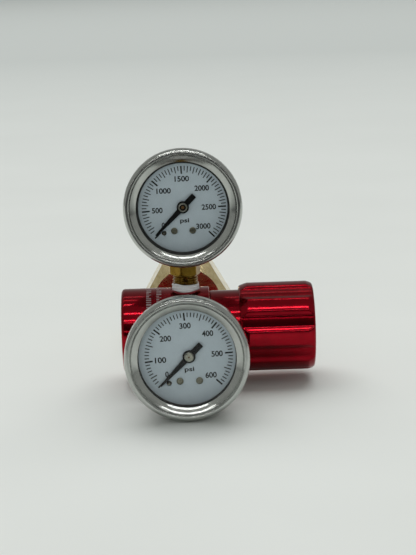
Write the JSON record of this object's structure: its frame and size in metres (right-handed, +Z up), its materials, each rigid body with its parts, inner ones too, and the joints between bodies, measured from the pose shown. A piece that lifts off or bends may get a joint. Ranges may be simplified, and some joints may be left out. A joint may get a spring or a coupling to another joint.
{
  "type": "carbon dioxide regulator",
  "caption": "Gas pressure regulator for brewing: red anodised body with a fluted adjusting knob, a supply gauge, an outlet gauge and a brass tank nut.",
  "frame": {"origin": "centre of the bounding box's base, level with the bottom of the lower gauge's rim", "axes": "+X along the body's axis towards the knob, -Y the way the gauges face, +Z up to the upper gauge"},
  "size_m": [0.07, 0.138, 0.0888],
  "materials": {
    "red_anodised": "bright red anodised, satin",
    "polished_steel": "polished stainless",
    "plain_steel": "plain",
    "spring_steel": "drawn wire",
    "brass": "machined",
    "bronze": "sintered and tube bronze",
    "clear_glass": "clear",
    "white_enamel": "printed dial enamel",
    "black_enamel": "satin",
    "black_rubber": "moulded",
    "white_tape": "PTFE thread tape",
    "white_nylon": "turned"
  },
  "bodies": {
    "housing": {"regulator_body": "red_anodised", "end_plug": "plain_steel", "end_plug_oring": "black_rubber", "poppet_spring": "spring_steel", "valve_seat": "brass", "range_spring": "spring_steel", "bonnet": "red_anodised", "inlet_nipple": "brass", "inlet_filter": "bronze", "inlet_washer": "white_nylon", "top_gauge_socket": "brass", "top_gauge_case": "plain_steel", "top_gauge_bezel": "polished_steel", "top_gauge_window": "clear_glass", "top_gauge_gasket": "black_rubber", "top_gauge_dial": "white_enamel", "top_gauge_dial_screw_left": "plain_steel", "top_gauge_dial_screw_right": "plain_steel", "top_gauge_stop_pin": "plain_steel", "top_gauge_movement_frame": "brass", "top_gauge_bourdon_tube": "bronze", "top_gauge_tape": "white_tape", "front_gauge_socket": "brass", "front_gauge_case": "plain_steel", "front_gauge_bezel": "polished_steel", "front_gauge_window": "clear_glass", "front_gauge_gasket": "black_rubber", "front_gauge_dial": "white_enamel", "front_gauge_dial_screw_left": "plain_steel", "front_gauge_dial_screw_right": "plain_steel", "front_gauge_stop_pin": "plain_steel", "front_gauge_movement_frame": "brass", "front_gauge_bourdon_tube": "bronze", "front_gauge_tape": "white_tape"},
    "poppet_group": {"poppet": "brass", "poppet_seal": "white_nylon"},
    "piston_group": {"piston": "plain_steel", "piston_oring": "black_rubber"},
    "spring_seat": {"spring_seat": "brass"},
    "knob": {"adjusting_knob": "red_anodised"},
    "inlet_nut": {"inlet_nut": "brass"},
    "top_pointer": {"top_gauge_pointer": "black_enamel", "top_gauge_pinion_staff": "brass"},
    "top_sector": {"top_gauge_sector_gear": "brass"},
    "top_link": {"top_gauge_link": "brass"},
    "front_pointer": {"front_gauge_pointer": "black_enamel", "front_gauge_pinion_staff": "brass"},
    "front_sector": {"front_gauge_sector_gear": "brass"},
    "front_link": {"front_gauge_link": "brass"}
  },
  "joints": [
    {"name": "knob_travel", "type": "slide", "parent": "housing", "child": "spring_seat", "axis": [-1, 0, 0], "range_m": [0, 0.006]},
    {"name": "knob_turn", "type": "hinge", "parent": "spring_seat", "child": "knob", "pos_m": [0.035, -0.013, 0.02125], "axis": [-1, 0, 0], "range_deg": [0, 1800]},
    {"name": "piston_travel", "type": "slide", "parent": "housing", "child": "piston_group", "axis": [-1, 0, 0], "range_m": [0, 0.001], "stiffness_N_per_m": 3000, "deforming": ["range_spring"]},
    {"name": "poppet_travel", "type": "slide", "parent": "housing", "child": "poppet_group", "axis": [-1, 0, 0], "range_m": [0, 0.001], "deforming": ["poppet_spring"]},
    {"name": "inlet_nut_turn", "type": "hinge", "parent": "housing", "child": "inlet_nut", "pos_m": [-0.0114, 0.0565, 0.02125], "axis": [0, 1, 0], "continuous": true},
    {"name": "top_pointer_turn", "type": "hinge", "parent": "housing", "child": "top_pointer", "pos_m": [-0.0114, -0.0242, 0.06755], "axis": [0, 1, 0], "range_deg": [0, 270], "stiffness_Nm_per_rad": 0.0001},
    {"name": "top_sector_turn", "type": "hinge", "parent": "housing", "child": "top_sector", "pos_m": [-0.0055, -0.0185, 0.0626], "axis": [0, 1, 0], "range_deg": [-45, 0]},
    {"name": "top_link_swing", "type": "hinge", "parent": "top_sector", "child": "top_link", "pos_m": [-0.00305, -0.0185, 0.06054], "axis": [0, 1, 0], "range_deg": [0, 45]},
    {"name": "front_pointer_turn", "type": "hinge", "parent": "housing", "child": "front_pointer", "pos_m": [-0.01075, -0.063, 0.02125], "axis": [0, 1, 0], "range_deg": [0, 270], "stiffness_Nm_per_rad": 0.0001},
    {"name": "front_sector_turn", "type": "hinge", "parent": "housing", "child": "front_sector", "pos_m": [-0.00485, -0.0573, 0.0163], "axis": [0, 1, 0], "range_deg": [-45, 0]},
    {"name": "front_link_swing", "type": "hinge", "parent": "front_sector", "child": "front_link", "pos_m": [-0.0024, -0.0573, 0.01424], "axis": [0, 1, 0], "range_deg": [0, 45]}
  ],
  "couplings": [
    {"joint": "knob_travel", "follows": "knob_turn", "m_per_rad": 0.00019099},
    {"joint": "poppet_travel", "follows": "piston_travel", "ratio": 1},
    {"joint": "top_sector_turn", "follows": "top_pointer_turn", "ratio": -0.16667},
    {"joint": "top_link_swing", "follows": "top_pointer_turn", "ratio": 0.16667},
    {"joint": "front_sector_turn", "follows": "front_pointer_turn", "ratio": -0.16667},
    {"joint": "front_link_swing", "follows": "front_pointer_turn", "ratio": 0.16667}
  ]
}
